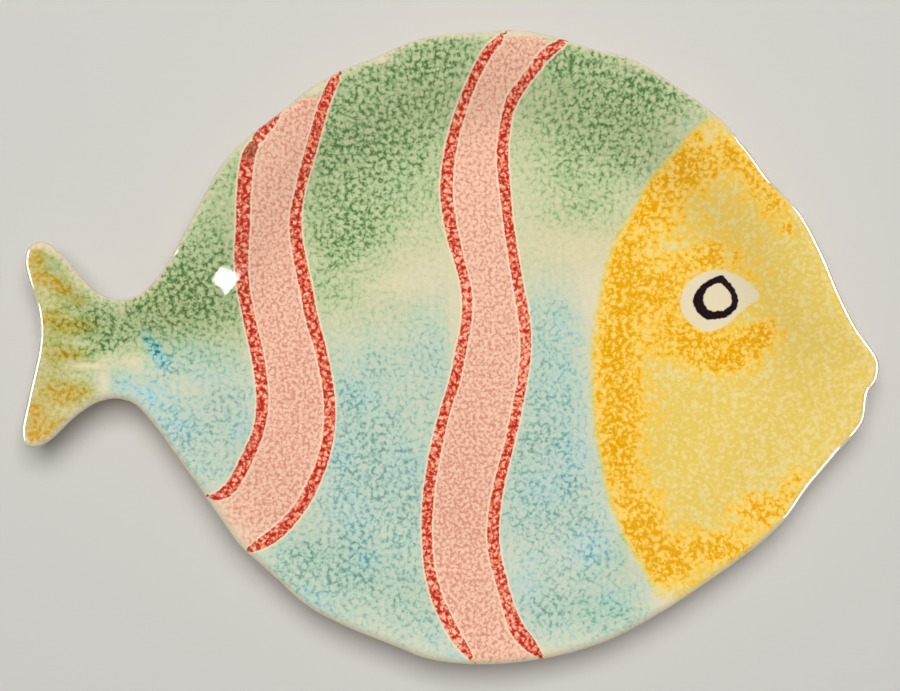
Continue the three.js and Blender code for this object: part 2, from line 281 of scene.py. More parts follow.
# The bare clay, with its grit as size and depth in mm and strength, and the shade of its dark grains
CLAY_ROUGHNESS, WIPED_ROUGHNESS = 0.85, 0.12
GRIT_SIZE, GRIT_DEPTH, GRIT_STRENGTH, GRIT_SHADE = 0.5, 0.1, 0.3, 0.75
# The glaze's line on the foot, in mm: the heights between which it turns, and its wander's size and reach,
# with the range of noise that moves it
GLAZE_LINE, WANDER_SIZE, WANDER_REACH, WANDER_RANGE = (1.9, 2.2), 9, 0.5, (0.3, 0.7)
PAPER_ROUGHNESS = 0.9

# How finely the dish is divided: ribs to each point of the outline, rings on each face and in the lip, and
# the power that crowds a face's rings towards the rim
RIBS_PER_POINT = 8
TOP_RINGS = 112
LIP_RINGS = 10
UNDER_RINGS = 28
RING_CROWDING = 1.5
# Corners that agree to this many decimals of a millimetre become one
SAME_DECIMALS = 4
# Swells of the glaze: wavelength in mm, direction and phase in radians
GLAZE_SWELLS = [(41, 0.4, 0.0), (29, 1.7, 1.3), (35, 2.6, 2.9), (23, 0.9, 4.1)]
# Rows of the dish's own texture map that the top takes; the underside lies small below it
TOP_MAP_SHARE = 0.74
UNDER_MAP_SCALE = 0.33
MAP_MARGIN = 0.004
# How finely the foot is divided, and the tries that its line takes to settle
FOOT_STEPS = 360
FOOT_TRIES = 40
FOOT_EDGE_STEPS = 6
FOOT_FLARE_STEPS = 10

# Lights as name, place and size in metres, power in watts, and whether they only give glints in the glaze.
# The one overhead gives light alone, because its mirror image would veil the whole flat of the dish.
STUDIO_LIGHTS = [
    ("overhead_softbox", (0.0, 0.35, 1.55), (0.8, 0.8), 24, False),
    ("key_softbox", (0.867, -0.611, 0.645), (0.07, 0.07), 0.34, True),
    ("left_strip", (-1.2, 0.15, 0.1), (0.8, 0.18), 32, True),
    ("right_strip", (1.2, 0.0, 0.1), (1.8, 0.18), 72, True),
    ("left_panel", (-1.2, 0.15, 0.32), (0.9, 0.4), 2, True),
    ("right_panel", (1.2, 0.0, 0.32), (1.8, 0.4), 4, True),
]
# Glow of the light dome by the sine of the elevation: even, but dark overhead, where the flat of the dish
# would mirror it into the camera
DOME_GLOW = [(0.0, 1.0), (0.88, 1.0), (1.0, 0.1)]
DOME_STRENGTH = 0.14
# The camera's lens and sensor in mm, and how far the floor reaches from the middle, in metres
LENS, SENSOR_WIDTH = 85, 36
FLOOR_REACH = 3.0


def dimension(name, size_mm, description):
    """A length property with its default given in millimetres."""
    return bpy.props.FloatProperty(name=name, description=description, default=size_mm * MM, unit="LENGTH")


class PlateSizes(bpy.types.PropertyGroup):
    """Sizes of the dish and its foot that the frame's boxes don't give"""
    wall: dimension("Wall", 4.5, "Thickness of the dish")
    wall_run: dimension("Slope", 30, "Breadth of the sloping side, seen from above")
    rim_wave: dimension("Rim wave", 1, "How far the rim rises and falls")
    rim_wave_count: bpy.props.IntProperty(name="Waves", description="Waves round the rim", default=7)
    rim_flare: bpy.props.FloatProperty(
        name="Flare", description="Share of the rise that leaves the rim at a slope", default=0.3,
        subtype="FACTOR")
    glaze_wave: dimension("Glaze wave", 0.12, "Unevenness of the hand-finished top")
    foot_setback: dimension("Setback", 2, "Foot's root in from the floor's edge")
    foot_root: dimension("Foot root", 7, "Width of the foot where it meets the dish")
    foot_face: dimension("Foot face", 3.6, "Width of the face it stands on")
    foot_edge: dimension("Foot edge", 0.6, "Radius of the foot's lower edges")


def linear(hex_colour):
    """An sRGB hex colour as linear RGB."""
    srgb = np.array([int(hex_colour[at:at + 2], 16) for at in (1, 3, 5)]) / 255
    return tuple(np.where(srgb <= 0.04045, srgb / 12.92, ((srgb + 0.055) / 1.055) ** 2.4).tolist())


def colour(name, hex_colour, description):
    """A colour property with its default given as sRGB hex."""
    return bpy.props.FloatVectorProperty(
        name=name, description=description, default=linear(hex_colour), size=3, subtype="COLOR", min=0, max=1)


class PlateColours(bpy.types.PropertyGroup):
    """Colours of the fired plate"""
    cream: colour("Cream body", "#EBDCBA", "Bare body under the clear glaze")
    crossed_brown: colour("Crossed brown", "#8C4A34", "One stroke over the end of another")
    line_cream: colour("Line cream", "#FAE6C6", "Glaze-filled line of body beside the brush strokes")
    ring_black: colour("Ring black", "#24151B", "Brushed ring of the eye")
    bare_clay: colour("Bare clay", "#D8BD97", "Trimmed foot where the glaze was wiped off")
    floor: colour("Floor", "#D2CFCA", "Paper that the plate stands on")


for pigment_name, (_, _, pale_hex, deep_hex) in PIGMENTS.items():
    PlateColours.__annotations__["pale_" + pigment_name] = colour(
        "Pale " + pigment_name, pale_hex, f"Thin {pigment_name}, in the holes of the sponge's print")
    PlateColours.__annotations__["deep_" + pigment_name] = colour(
        "Deep " + pigment_name, deep_hex, f"Full {pigment_name}, in the web of the sponge's print")


def thousandths_to_mm(places):
    """Thousandths of the plate's length and width, from its middle, as millimetres."""
    return np.array(places) / 1000 * PLATE_SIZE[:2] + PLATE_MIDDLE[:2]


def photo_to_mm(pixels):
    """Places in the photograph as millimetres on the rim's level: the outline's box in the photograph is
    stretched over the dish's box."""
    off = np.array(pixels, float)[:, :2] - OUTLINE_LOW_PX
    return DISH_LOW[:2] + off / (OUTLINE_HIGH_PX - OUTLINE_LOW_PX) * PLATE_SIZE[:2]


def camera_place():
    """Where the photograph was taken from: over the middle of its frame, looking straight down."""
    middle = photo_to_mm([[PHOTO_SIZE_PX[0] / 2, PHOTO_SIZE_PX[1] / 2]])[0]
    return np.array([*middle, EYE_HEIGHT_MM + RIM_LEVEL_MM])


def curve_through(points, steps, closed):
    """A smooth curve through points, with its directions. Between two points it is the cubic whose ends have
    the slopes of a centripetal Catmull-Rom curve: knots are spaced by the square root of the chord."""
    points = np.asarray(points, float)
    if closed:
        before, start = np.roll(points, 1, axis=0), points
        end, after = np.roll(points, -1, axis=0), np.roll(points, -2, axis=0)
    else:
        start, end = points[:-1], points[1:]
        before = np.vstack([2 * points[0] - points[1], points[:-2]])
        after = np.vstack([points[2:], 2 * points[-1] - points[-2]])

    def knot(a, b):
        return np.sqrt(np.linalg.norm(b - a, axis=1, keepdims=True))

    k0, k1, k2 = knot(before, start), knot(start, end), knot(end, after)
    slope_in = ((start - before) / k0 - (end - before) / (k0 + k1) + (end - start) / k1) * k1
    slope_out = ((end - start) / k1 - (after - start) / (k1 + k2) + (after - end) / k2) * k1
    t = (np.arange(steps) / steps)[None, :, None]
    p, q, m, n = (array[:, None, :] for array in (start, end, slope_in, slope_out))
    square, cube = -3 * p + 3 * q - 2 * m - n, 2 * p - 2 * q + m + n
    places = (p + m * t + square * t ** 2 + cube * t ** 3).reshape(-1, points.shape[1])
    ways = (m + 2 * square * t + 3 * cube * t ** 2).reshape(-1, points.shape[1])
    if not closed:
        places, ways = np.vstack([places, points[-1]]), np.vstack([ways, slope_out[-1]])
    return places, ways


class DishShape:
    """The dish as a function of a place seen from above. The soft distance d in from the outline is
    sqrt(2 / sum of length / reach cubed) over the outline's short pieces. The middle of the wall sinks from
    the rim to the floor with d, partly as a flare and partly as an S."""

    def __init__(self, sizes):
        self.half_wall = sizes.wall / MM / 2
        self.wall_run = sizes.wall_run / MM
        self.wave, self.wave_count, self.flare = sizes.rim_wave / MM, sizes.rim_wave_count, sizes.rim_flare
        self.glaze_wave = sizes.glaze_wave / MM
        self.floor_z = FOOT_HIGH[2] + self.half_wall
        self.rim_z = DISH_HIGH[2] - self.half_wall
        outline = thousandths_to_mm(BACK + BELLY[::-1])
        self.line, ways = curve_through(outline, RIBS_PER_POINT, closed=True)
        self.outward = np.column_stack([ways[:, 1], -ways[:, 0]])
        self.outward /= np.linalg.norm(self.outward, axis=1, keepdims=True)
        following = np.roll(self.line, -1, axis=0)
        self.piece_middles = (self.line + following) / 2
        self.piece_lengths = np.linalg.norm(following - self.line, axis=1)
        self.middle = thousandths_to_mm(FOOT_MIDDLE)

    def distance_in(self, places):
        """Soft distance in from the outline and its slope, for places (n, 2)."""
        away = places[:, None, :] - self.piece_middles
        reach = np.linalg.norm(away, axis=2)
        total = (self.piece_lengths / reach ** 3).sum(1)
        pull = -3 * ((self.piece_lengths / reach ** 5)[:, :, None] * away).sum(1)
        distance = np.sqrt(2 / total)
        return distance, -0.5 * (distance / total)[:, None] * pull

    def wall_middle(self, places):
        """Height of the wall's middle, its upward normal and the distance in, for places (n, 2)."""
        distance, distance_slope = self.distance_in(places)
        run = np.minimum((distance - self.half_wall) / self.wall_run, 1)
        sunk = self.flare * (1 - (1 - run) ** 3) + (1 - self.flare) * run ** 3 * (run * (6 * run - 15) + 10)
        sinking = 3 * self.flare * (1 - run) ** 2 + 30 * (1 - self.flare) * (run * (1 - run)) ** 2
        off = places - self.middle
        around = self.wave_count * np.arctan2(off[:, 1], off[:, 0])
        rise = self.rim_z - self.wave * (1 - np.cos(around)) / 2 - self.floor_z
        turning = np.column_stack([-off[:, 1], off[:, 0]]) / (off ** 2).sum(1, keepdims=True).clip(1)
        dip_slope = (self.wave * self.wave_count * np.sin(around) / 2)[:, None] * turning
        slope = -(1 - sunk)[:, None] * dip_slope - (rise * sinking / self.wall_run)[:, None] * distance_slope
        normal = np.column_stack([-slope, np.ones(len(places))])
        normal /= np.linalg.norm(normal, axis=1, keepdims=True)
        return self.floor_z + rise * (1 - sunk), normal, distance

    def unevenness(self, places):
        """Small swells of the hand-finished top: a sum of four waves that cross each other."""
        swells = np.zeros(len(places))
        for length, angle, phase in GLAZE_SWELLS:
            way = np.array([np.cos(angle), np.sin(angle)]) * 2 * np.pi / length
            swells += np.sin(places @ way + phase)
        return self.glaze_wave * swells / len(GLAZE_SWELLS)


def dish_rows(shape):
    """The dish as rows of points, each a ring: out over the top on ribs from a spine to half a wall inside
    the outline, round the lip, and back underneath. Gives the rows, and the distance in from the outline."""
    ends = shape.line - shape.outward * shape.half_wall
    across = np.roll(ends[::-1], 1, axis=0)
    tail, head = thousandths_to_mm(TAIL_END), thousandths_to_mm(HEAD_END)
    along = (((ends[:, 0] + across[:, 0]) / 2 - tail[0]) / (head[0] - tail[0])).clip(0, 1)[:, None]
    starts = tail + (head - tail) * along

    def face_row(share, side):
        places = starts + (ends - starts) * share
        height, normal, distance = shape.wall_middle(places)
        middle = np.column_stack([places, height])
        row = middle + side * shape.half_wall * normal
        if side > 0:
            fade = ((distance - shape.half_wall) / shape.half_wall).clip(0, 1)
            row[:, 2] += fade * shape.unevenness(places)
        return row, distance

    def lip_row(turn):
        height, normal, distance = shape.wall_middle(ends)
        outward = np.column_stack([shape.outward, np.zeros(len(ends))])
        start, end = (normal, outward) if turn < 1 else (outward, -normal)
        way = start + (end - start) * (turn % 1)
        way /= np.linalg.norm(way, axis=1, keepdims=True)
        return np.column_stack([ends, height]) + shape.half_wall * way, -shape.half_wall * turn + distance

    def ring_share(ring, rings):
        return 1 - (1 - ring / rings) ** RING_CROWDING

    rows = [face_row(ring_share(ring, TOP_RINGS), 1) for ring in range(TOP_RINGS + 1)]
    rows += [lip_row(2 * step / LIP_RINGS) for step in range(1, LIP_RINGS)]
    rows += [face_row(ring_share(ring, UNDER_RINGS), -1) for ring in range(UNDER_RINGS, -1, -1)]
    return np.array([row for row, _ in rows]), np.array([distance for _, distance in rows])


def ring_faces(row_count, step_count, rows_wrap):
    """Two triangles for each cell of a grid whose steps run round and whose rows follow each other."""
    row, step = np.meshgrid(np.arange(row_count if rows_wrap else row_count - 1), np.arange(step_count),
                            indexing="ij")
    following, onward = (row + 1) % row_count, (step + 1) % step_count
    a, b = row * step_count + step, following * step_count + step
    c, d = following * step_count + onward, row * step_count + onward
    return np.concatenate([np.stack([a, b, c], -1).reshape(-1, 3), np.stack([a, c, d], -1).reshape(-1, 3)])


def piece_from(name, corners, faces, material, fields=None, corner_map=None):
    """A mesh object from corners in mm, triangles, named numbers on the corners and a map on the triangles'
    corners. Corners that meet become one, and triangles that this flattens are left out."""
    _, kept, merged = np.unique(
        np.round(corners, SAME_DECIMALS), axis=0, return_index=True, return_inverse=True)
    merged = merged.ravel()
    joined = merged[faces]
    whole = (joined[:, 0] != joined[:, 1]) & (joined[:, 1] != joined[:, 2]) & (joined[:, 2] != joined[:, 0])
    joined = joined[whole]
    mesh = bpy.data.meshes.new(name)
    mesh.vertices.add(len(kept))
    mesh.vertices.foreach_set("co", (corners[kept] * MM).astype(np.float32).ravel())
    mesh.loops.add(joined.size)
    mesh.loops.foreach_set("vertex_index", joined.astype(np.int32).ravel())
    mesh.polygons.add(len(joined))
    mesh.polygons.foreach_set("loop_start", np.arange(0, joined.size, 3, dtype=np.int32))
    for field, numbers in (fields or {}).items():
        attribute = mesh.attributes.new(field, "FLOAT", "POINT")
        attribute.data.foreach_set("value", numbers[kept].astype(np.float32))
    if corner_map is not None:
        layer = mesh.uv_layers.new(name="OFBake")
        layer.uv.foreach_set("vector", corner_map[whole].astype(np.float32).ravel())
    mesh.update(calc_edges=True)
    mesh.shade_smooth()
    mesh.materials.append(material)
    if mesh.validate():
        raise RuntimeError(f"the mesh of {name} had faults")
    piece = bpy.data.objects.new(name, mesh)
    bpy.context.scene.collection.objects.link(piece)
    return piece


def dish_map(corners, faces, top_corner):
    """The dish's own texture map, flat as seen from above: the top over the upper part of the image, and the
    underside and the outside of the lip small below it."""
    flat = (corners[:, :2] - DISH_LOW[:2]) / PLATE_SIZE[:2]
    top_rows = 1 - TOP_MAP_SHARE
    top = MAP_MARGIN + flat * [1 - 2 * MAP_MARGIN, TOP_MAP_SHARE - 2 * MAP_MARGIN] + [0, top_rows]
    scale = np.array([UNDER_MAP_SCALE, UNDER_MAP_SCALE * TOP_MAP_SHARE])
    under = MAP_MARGIN + flat * scale
    on_top = top_corner[faces].all(1)
    return np.where(on_top[:, None, None], top[faces], under[faces])


def off_piece(places, a, b):
    """For each place, the way to it from the nearest point of the straight piece from a to b, and that
    point's share of the way along the piece."""
    along = b - a
    share = ((places - a) @ along / (along @ along)).clip(0, 1)
    return places - a - share[:, None] * along, share


def nearest_on_line(places, line, widths):
    """For each place, how far it lies to the left of a line's direction (negative on its right) and the
    line's half width there. The nearest straight piece of the line decides."""
    best = np.full(len(places), np.inf)
    side, half = np.zeros(len(places)), np.zeros(len(places))
    for a, b, wa, wb in zip(line[:-1], line[1:], widths[:-1], widths[1:]):
        off, share = off_piece(places, a, b)
        reach = np.linalg.norm(off, axis=1)
        nearer = reach < best
        best = np.where(nearer, reach, best)
        left = np.sign((b[0] - a[0]) * off[:, 1] - (b[1] - a[1]) * off[:, 0])
        side = np.where(nearer, reach * left, side)
        half = np.where(nearer, (wa + (wb - wa) * share) / 2, half)
    return side, half


def depth_inside(places, outline):
    """Distance in from a closed line, negative outside it. A place is inside if a ray from it crosses the
    line an odd number of times."""
    best = np.full(len(places), np.inf)
    inside = np.zeros(len(places), bool)
    for a, b in zip(outline, np.roll(outline, -1, axis=0)):
        best = np.minimum(best, np.linalg.norm(off_piece(places, a, b)[0], axis=1))
        if a[1] != b[1]:
            crosses = (a[1] > places[:, 1]) != (b[1] > places[:, 1])
            at = a[0] + (places[:, 1] - a[1]) / (b[1] - a[1]) * (b[0] - a[0])
            inside ^= crosses & (places[:, 0] < at)
    return np.where(inside, best, -best)


def sponged(places, patches_px):
    """Strength of a sponged colour: one minus the product of what each soft round patch leaves free."""
    free = np.ones(len(places))
    middles = photo_to_mm(patches_px)
    for middle, (_, _, reach_x, reach_y, strength) in zip(middles, patches_px):
        off = (places - middle) / MM_PER_PX / [reach_x, reach_y]
        free *= 1 - strength / 100 * np.exp(-(off ** 2).sum(1))
    return 1 - free


def decoration(corners, distance, top_corner):
    """The decoration as numbers on the dish's corners. It is laid out flat as seen from above, so each
    corner is first carried along its line of sight to the rim's level."""
    eye = camera_place()
    sight = (eye[2] - RIM_LEVEL_MM) / (eye[2] - corners[:, 2])
    places = eye[:2] + (corners[:, :2] - eye[:2]) * sight[:, None]

    side, half = np.full(len(places), -np.inf), np.zeros(len(places))
    best = np.full(len(places), np.inf)
    bands = [
        (FIRST_LEFT_STROKE_PX, FIRST_RIGHT_STROKE_PX, FIRST_PINK_TOP_PX, FIRST_PINK_END_PX, [FIRST_DAB_PX]),
        (SECOND_LEFT_STROKE_PX, SECOND_RIGHT_STROKE_PX, SECOND_PINK_TOP_PX, SECOND_PINK_END_PX, []),
    ]
    pink = np.full(len(places), -np.inf)
    for left_px, right_px, top_px, end_px, dabs in bands:
        lines = []
        for stroke_px, inner in ((left_px, 1), (right_px, -1), *((dab, 1) for dab in dabs)):
            points = np.column_stack([photo_to_mm(stroke_px), np.array(stroke_px)[:, 2] * MM_PER_PX])
            line = curve_through(points, STROKE_STEPS, closed=False)[0]
            lines.append(line)
            off, reach = nearest_on_line(places, line[:, :2], line[:, 2])
            off *= inner
            nearer = np.abs(off) - reach < best
            best = np.where(nearer, np.abs(off) - reach, best)
            side = np.where(nearer, off, side)
            half = np.where(nearer, reach, half)
        left, right = lines[0][:, :2], lines[1][:, :2]
        top, end = photo_to_mm(top_px), photo_to_mm(end_px)
        ring = np.vstack([
            top, right[np.linalg.norm(right - top[-1], axis=1).argmin():-STROKE_STEPS],
            end, left[np.linalg.norm(left - top[0], axis=1).argmin():-STROKE_STEPS][::-1],
        ])
        pink = np.maximum(pink, depth_inside(places, ring))

    def inside(outline_px):
        return depth_inside(places, curve_through(photo_to_mm(outline_px), STROKE_STEPS, closed=True)[0])

    left_free = 1 - sponged(places, BARE_PATCHES_PX)
    face_free = 1 - sponged(places, BARE_FACE_PATCHES_PX)
    return {
        "painted": top_corner * (1 - sponged(places, BARE_RIM_PATCHES_PX)),
        "from_rim": np.where(top_corner, distance, -1),
        "stroke_side": side,
        "stroke_half": half,
        "crossed": sponged(places, CROSSED_STROKES_PX),
        "pink": pink,
        "face": inside(HEAD_PX),
        "eye_white": inside(EYE_WHITE_PX),
        "ring_outside": inside(RING_OUTSIDE_PX),
        "ring_inside": inside(RING_INSIDE_PX),
        "green": GREEN_STRENGTH * left_free * sponged(places, GREEN_PATCHES_PX),
        "aqua": AQUA_STRENGTH * left_free * sponged(places, AQUA_PATCHES_PX),
        "blue": left_free * sponged(places, BLUE_PATCHES_PX),
        "ochre": left_free * sponged(places, OCHRE_PATCHES_PX),
        "yellow": YELLOW_STRENGTH * face_free * sponged(places, YELLOW_PATCHES_PX),
        "orange": ORANGE_STRENGTH * face_free * sponged(places, ORANGE_PATCHES_PX),
        "rose": sponged(places, ROSE_PATCHES_PX),
        "thinned": sponged(places, THIN_STROKE_PATCHES_PX),
    }


def add(tree, kind, *feeds, output=None, **settings):
    """Adds a node with its settings. Each feed goes to the next input in use: a socket is linked to it, a
    number or colour is set on it, and None leaves it alone. Gives the named output, or the first in use."""
    node = tree.nodes.new("ShaderNode" + kind)
    for setting, value in settings.items():
        setattr(node, setting, value)
    for socket, feed in zip([socket for socket in node.inputs if socket.enabled], feeds):
        if isinstance(feed, bpy.types.NodeSocket):
            tree.links.new(feed, socket)
        elif feed is not None:
            socket.default_value = feed
    return node.outputs[output] if output else next(socket for socket in node.outputs if socket.enabled)


def new_material(name):
    """A material with a bare Principled surface, its node tree and that surface."""
    material = bpy.data.materials.new(name)
    material.use_nodes = True
    return material, material.node_tree, material.node_tree.nodes["Principled BSDF"]


def sponge_web(tree, place, hole_mm):
    """Print of a natural sponge: 1 along the web between its holes and 0 in their middles, with a ragged
    grain. Holes are the cells of a pattern, bent so that they aren't straight-edged."""
    flat = {"noise_dimensions": "2D"}
    bend = add(tree, "TexNoise", place, 1 / (BEND_SIZE * hole_mm * MM), *BEND_NOISE, output="Color", **flat)
    shift = add(tree, "VectorMath", bend, (-0.5, -0.5, -0.5), operation="ADD")
    shift = add(tree, "VectorMath", shift, BEND_REACH * hole_mm * MM, operation="SCALE")
    warped = add(tree, "VectorMath", place, shift, operation="ADD")
    cell = add(tree, "TexVoronoi", warped, 1 / (hole_mm * MM), feature="DISTANCE_TO_EDGE",
               voronoi_dimensions="2D")
    web = add(tree, "MapRange", cell, *HOLE_RANGE, 1.0, 0.0)
    grain = add(tree, "TexNoise", place, 1 / (GRAIN_SIZE * hole_mm * MM), *GRAIN_NOISE, **flat)
    grain = add(tree, "MapRange", grain, *GRAIN_RANGE, 0.0, 1.0)
    return add(tree, "Mix", GRAIN_SHARE, web, grain)


def pigment(tree, colours, name, below, web, density, body):
    """A coat of sponged colour. Part of it is a thin wash, which lacks a share in the sponge's holes. The
    printed share comes as flecks along the web, which spread as the density grows. The pale and the deep
    colour are the coat over the body, so it is multiplied over what is below."""
    printed, holes, _, _ = PIGMENTS[name]
    pale, deep = getattr(colours, "pale_" + name), getattr(colours, "deep_" + name)
    washed = add(tree, "MapRange", density, 0.0, WASH_WHOLE, 0.0, 1 - printed)
    lift = add(tree, "MapRange", web, *LIFT_RANGE, 1 - holes, 1 + LIFT_GAIN * printed)
    washed = add(tree, "Math", washed, lift, operation="MULTIPLY")
    flecks = add(tree, "Math", web, density, operation="ADD")
    flecks = add(tree, "MapRange", flecks, *FLECK_RANGE, 0.0, printed)
    coat = add(tree, "ValToRGB", add(tree, "Math", washed, flecks, operation="ADD"))
    stops = coat.node.color_ramp.elements
    stops[0].color = (1, 1, 1, 1)
    stops[1].color = (*[a / b for a, b in zip(deep, body)], 1)
    stops.new(PALE_FULLNESS).color = (*[a / b for a, b in zip(pale, body)], 1)
    return add(tree, "Mix", 1.0, below, coat, data_type="RGBA", blend_type="MULTIPLY")


def soft_edge(tree, name, distance, ragged, start=0.0, end=1.0, **settings):
    """A mask that turns from start to end across an edge, which the ragged pattern moves in and out."""
    moved, low, high = EDGES[name]
    distance = add(tree, "Math", ragged, moved, distance, operation="MULTIPLY_ADD")
    return add(tree, "MapRange", distance, low, high, start, end, **settings)


def glazed_earthenware(colours, field_names):
    """Earthenware body dipped in a clear lead-free gloss glaze over sponged and brushed underglaze colours:
    the eye gets flat soft colour under a wet-looking, slightly rippled surface."""
    material, tree, surface = new_material("glazed_earthenware")
    cream = tuple(colours.cream)
    bare = (*cream, 1)
    place = add(tree, "TexCoord", output="Object")
    field = {name: add(tree, "Attribute", attribute_name=name, output="Fac") for name in field_names}
    body_web, face_web, band_web, stroke_web = (
        sponge_web(tree, place, hole_mm) for hole_mm in (BODY_HOLE, FACE_HOLE, BAND_HOLE, STROKE_HOLE))
    slow = []
    for size, grain, spread in (RAGGED, DABS, MOTTLE):
        noise = add(tree, "TexNoise", place, 1 / (size * MM), *grain, noise_dimensions="2D")
        slow.append(add(tree, "MapRange", noise, *spread))
    ragged, dabs, mottle = slow

    # Green, blue and ochre sponged on the body, which stop a little inside the face
    ground = bare
    for name in ("green", "aqua", "blue", "ochre"):
        density = add(tree, "Math", field[name], dabs, operation="MULTIPLY")
        ground = pigment(tree, colours, name, ground, body_web, density, cream)
    cleared = soft_edge(tree, "body colours", field["face"], ragged)
    painted = add(tree, "Mix", cleared, ground, bare, data_type="RGBA")

    # The face's yellow wash, which fades out over the edge, and the orange sponged on it, which stops there
    washed = soft_edge(tree, "yellow", field["face"], ragged, interpolation_type="SMOOTHSTEP")
    density = add(tree, "Math", field["yellow"], washed, operation="MULTIPLY")
    density = add(tree, "Math", density, mottle, operation="MULTIPLY")
    painted = pigment(tree, colours, "yellow", painted, face_web, density, cream)
    on_face = soft_edge(tree, "orange", field["face"], ragged)
    density = add(tree, "Math", mottle, ORANGE_MOTTLE, field["orange"], operation="MULTIPLY_ADD")
    density = add(tree, "MapRange", density, *ORANGE_RANGE, 0.0, 1.0)
    density = add(tree, "Math", density, on_face, operation="MULTIPLY")
    painted = pigment(tree, colours, "orange", painted, face_web, density, colours.deep_yellow)

    # The pink bands, then the bare rim and underside
    band = pigment(tree, colours, "pink", bare, band_web, field["rose"], cream)
    in_band = soft_edge(tree, "pink", field["pink"], ragged)
    painted = add(tree, "Mix", in_band, painted, band, data_type="RGBA")
    from_edge = soft_edge(tree, "rim", field["from_rim"], ragged)
    on_top = add(tree, "Math", from_edge, field["painted"], operation="MULTIPLY")
    painted = add(tree, "Mix", on_top, bare, painted, data_type="RGBA")

    # The brush strokes along the bands, with the body showing in a line beside each
    off = add(tree, "Math", field["stroke_side"], operation="ABSOLUTE")
    reach = add(tree, "Math", off, field["stroke_half"], operation="SUBTRACT")
    beside = soft_edge(tree, "beside stroke", reach, ragged, BESIDE_SHARE, 0.0)
    beside = add(tree, "Math", beside, on_top, operation="MULTIPLY")
    painted = add(tree, "Mix", beside, painted, (*colours.line_cream, 1), data_type="RGBA")
    below = add(tree, "Mix", THROUGH_STROKE, bare, painted, data_type="RGBA")
    load = add(tree, "MapRange", field["thinned"], 0.0, 1.0, *BRUSH_LOAD)
    stroke = pigment(tree, colours, "red", below, stroke_web, load, cream)
    stroke = add(tree, "Mix", field["crossed"], stroke, (*colours.crossed_brown, 1), data_type="RGBA")
    inside = soft_edge(tree, "stroke", reach, ragged, 1.0, 0.0)
    below_rim = soft_edge(tree, "stroke at rim", field["from_rim"], ragged)
    inside = add(tree, "Math", inside, below_rim, operation="MULTIPLY")
    painted = add(tree, "Mix", inside, painted, stroke, data_type="RGBA")

    # The eye: bare body with a brushed ring
    eye = soft_edge(tree, "eye", field["eye_white"], ragged)
    painted = add(tree, "Mix", eye, painted, bare, data_type="RGBA")
    ring = on_top
    for name, ends in (("ring_outside", (0.0, 1.0)), ("ring_inside", (1.0, 0.0))):
        side = soft_edge(tree, "ring", field[name], ragged, *ends)
        ring = add(tree, "Math", ring, side, operation="MULTIPLY")
    painted = add(tree, "Mix", ring, painted, (*colours.ring_black, 1), data_type="RGBA")
    tree.links.new(painted, surface.inputs["Base Color"])

    ripple = add(tree, "TexNoise", place, 1 / (RIPPLE_SIZE * MM), *SLOW_NOISE)
    bump = add(tree, "Bump", RIPPLE_STRENGTH, RIPPLE_DEPTH * MM, None, ripple)
    tree.links.new(bump, surface.inputs["Normal"])
    surface.inputs["Roughness"].default_value = GLAZE_ROUGHNESS
    surface.inputs["IOR"].default_value = GLAZE_IOR
    return material


def bare_earthenware(colours):
    """Fired clay that was trimmed and wiped clean of glaze: a dry, matt, slightly gritty face. The glaze
    stops in an uneven line partway up the foot."""
    material, tree, surface = new_material("bare_earthenware")
    place = add(tree, "TexCoord", output="Object")
    height = add(tree, "SeparateXYZ", place, output="Z")
    wander = add(tree, "TexNoise", place, 1 / (WANDER_SIZE * MM), *SLOW_NOISE)
    wander = add(tree, "MapRange", wander, *WANDER_RANGE, -WANDER_REACH * MM, WANDER_REACH * MM)
    line = add(tree, "Math", height, wander, operation="ADD")
    glazed = add(tree, "MapRange", line, *(at * MM for at in GLAZE_LINE), 0.0, 1.0)
    grit = add(tree, "TexNoise", place, 1 / (GRIT_SIZE * MM), *GRIT_NOISE)
    dark = tuple(GRIT_SHADE * channel for channel in colours.bare_clay)
    clay = add(tree, "Mix", grit, (*dark, 1), (*colours.bare_clay, 1), data_type="RGBA")
    shade = add(tree, "Mix", glazed, clay, (*colours.cream, 1), data_type="RGBA")
    tree.links.new(shade, surface.inputs["Base Color"])
    gloss = add(tree, "MapRange", glazed, 0.0, 1.0, CLAY_ROUGHNESS, WIPED_ROUGHNESS)
    tree.links.new(gloss, surface.inputs["Roughness"])
    bump = add(tree, "Bump", GRIT_STRENGTH, GRIT_DEPTH * MM, None, grit)
    tree.links.new(bump, surface.inputs["Normal"])
    return material


